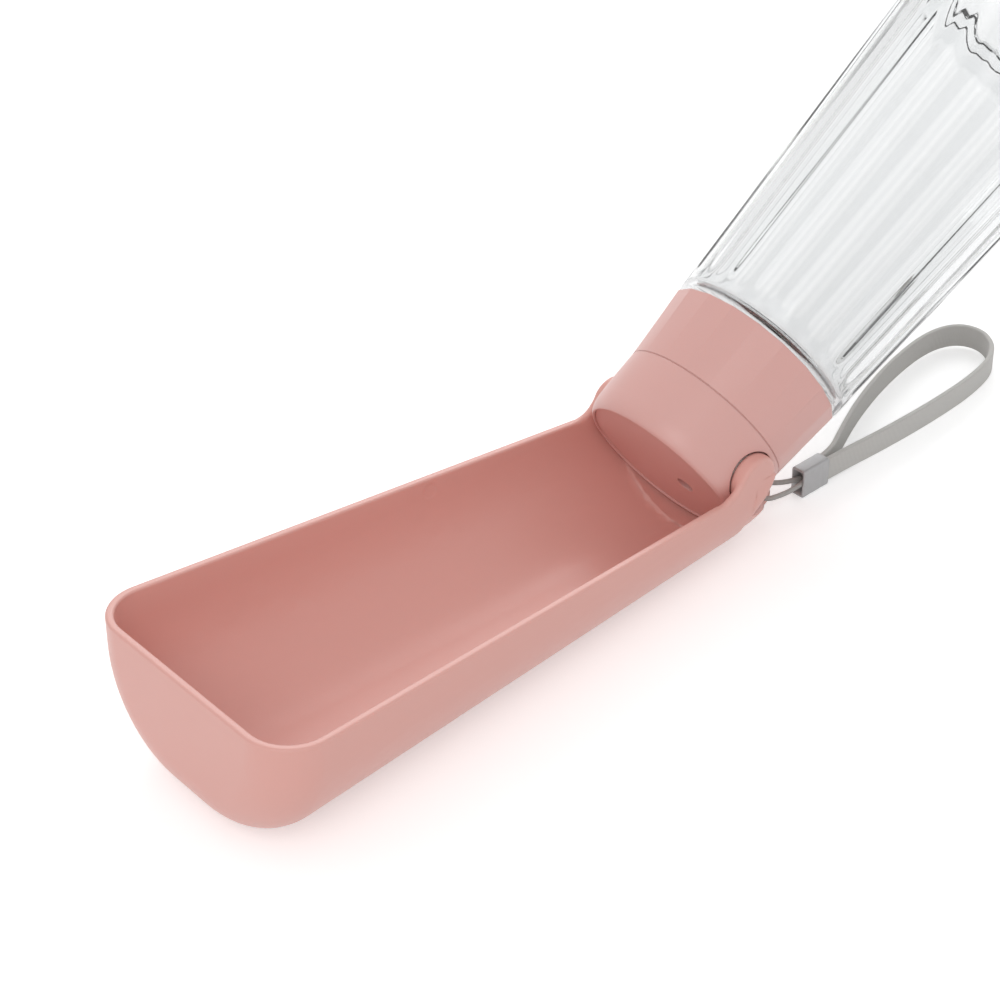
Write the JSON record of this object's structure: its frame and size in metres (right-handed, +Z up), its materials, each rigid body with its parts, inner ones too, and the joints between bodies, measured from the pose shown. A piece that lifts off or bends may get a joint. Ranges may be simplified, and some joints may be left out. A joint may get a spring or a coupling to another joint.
{
  "type": "dog travel water bottle",
  "caption": "Travel water bottle for dogs: clear fluted bottle, twist-valve head and a long drinking trough that hinges on the head and folds over the bottle, with a wrist strap.",
  "frame": {"origin": "middle of the trough's flat underside, straight above the surface it stands on", "axes": "+Z up, -X along the trough to its far end, +X to the head and bottle, which lean up and back in the open pose, Y along the hinge"},
  "size_m": [0.3178, 0.0776, 0.1339],
  "materials": {
    "trough_plastic": "satin",
    "head_plastic": "satin",
    "seal_rubber": "soft",
    "pin_steel": "ground",
    "washer_plastic": "smooth",
    "valve_plastic": "smooth",
    "spring_steel": "polished",
    "cap_plastic": "smooth",
    "clear_plastic": "clear, polished",
    "cord_fabric": "braided",
    "crimp_metal": "satin",
    "strap_fabric": "woven"
  },
  "bodies": {
    "trough": {"drinking_trough": "trough_plastic", "strap_cord": "cord_fabric", "strap_crimp": "crimp_metal", "strap_webbing": "strap_fabric"},
    "head": {"collar_shell": "head_plastic", "outlet_plate": "head_plastic", "outlet_seal": "seal_rubber", "hinge_pins": "pin_steel", "hinge_washers": "washer_plastic", "snap_ring": "spring_steel"},
    "twist": {"twist_ring": "head_plastic", "inner_cap": "cap_plastic", "valve_disc": "valve_plastic", "valve_disc_spring": "spring_steel", "vent_valve": "seal_rubber", "cap_oring": "seal_rubber", "neck_gasket": "seal_rubber"},
    "carrier": {"neck_seal": "seal_rubber"},
    "bottle": {"bottle_shell": "clear_plastic"}
  },
  "joints": [
    {"name": "trough_hinge", "type": "hinge", "parent": "trough", "child": "head", "pos_m": [0.0703, 0, 0.02973], "axis": [0, -1, 0], "range_deg": [0, 146.5]},
    {"name": "valve_twist", "type": "hinge", "parent": "head", "child": "twist", "pos_m": [0.0703, 0, 0.02973], "axis": [0.8712, 0, 0.4909], "range_deg": [0, 60]},
    {"name": "neck_lift", "type": "slide", "parent": "twist", "child": "carrier", "axis": [0.8712, 0, 0.4909], "range_m": [0, 0.0042]},
    {"name": "bottle_unscrew", "type": "hinge", "parent": "carrier", "child": "bottle", "pos_m": [0.0703, 0, 0.02973], "axis": [0.8712, 0, 0.4909], "range_deg": [0, 360]}
  ],
  "couplings": [
    {"joint": "bottle_unscrew", "follows": "neck_lift", "rad_per_m": 1496}
  ]
}
